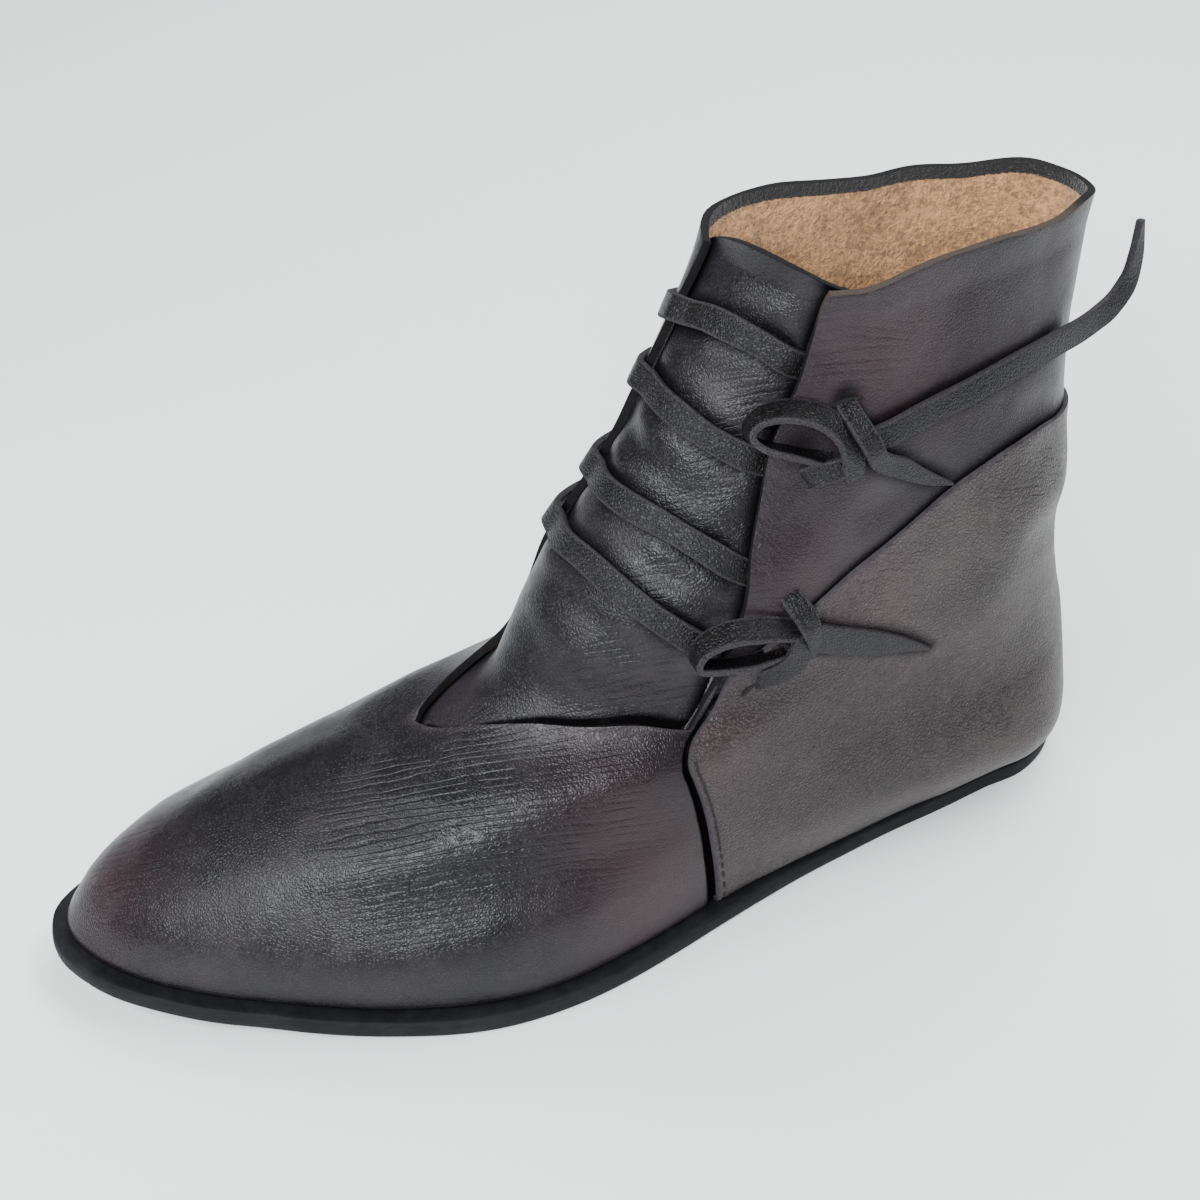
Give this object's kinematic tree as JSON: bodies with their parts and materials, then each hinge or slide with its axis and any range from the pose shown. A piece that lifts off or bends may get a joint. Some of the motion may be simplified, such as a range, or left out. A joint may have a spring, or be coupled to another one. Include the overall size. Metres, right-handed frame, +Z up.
{
  "type": "thong-tied ankle boot",
  "caption": "Flat-soled leather ankle boot for the left foot, open in front over a tongue and tied at its outer side with flat thongs in half-bow knots.",
  "frame": {"origin": "on the floor under the middle of the sole", "axes": "+Z up; the heel points to +Y and the toe to -Y; the outer side of the left foot faces +X"},
  "size_m": [0.1024, 0.2916, 0.1684],
  "materials": {
    "sole_rubber": "matte",
    "insole_leather": "rough suede",
    "upper_leather": "semi-gloss, fine pebbled grain",
    "quarter_leather": "satin, fine pebbled grain",
    "tongue_leather": "satin, fine pebbled grain",
    "thong_leather": "satin"
  },
  "bodies": {
    "root": {"sole": "sole_rubber", "insole": "insole_leather", "upper": "upper_leather", "heel_quarter": "quarter_leather", "tongue": "tongue_leather", "upper_thong_bar_1": "thong_leather", "upper_thong_bar_2": "thong_leather", "lower_thong_bar_1": "thong_leather", "lower_thong_bar_2": "thong_leather", "upper_thong_bow": "thong_leather", "upper_thong_short_end": "thong_leather", "upper_thong_long_end": "thong_leather", "lower_thong_bow": "thong_leather", "lower_thong_end": "thong_leather"}
  },
  "joints": []
}
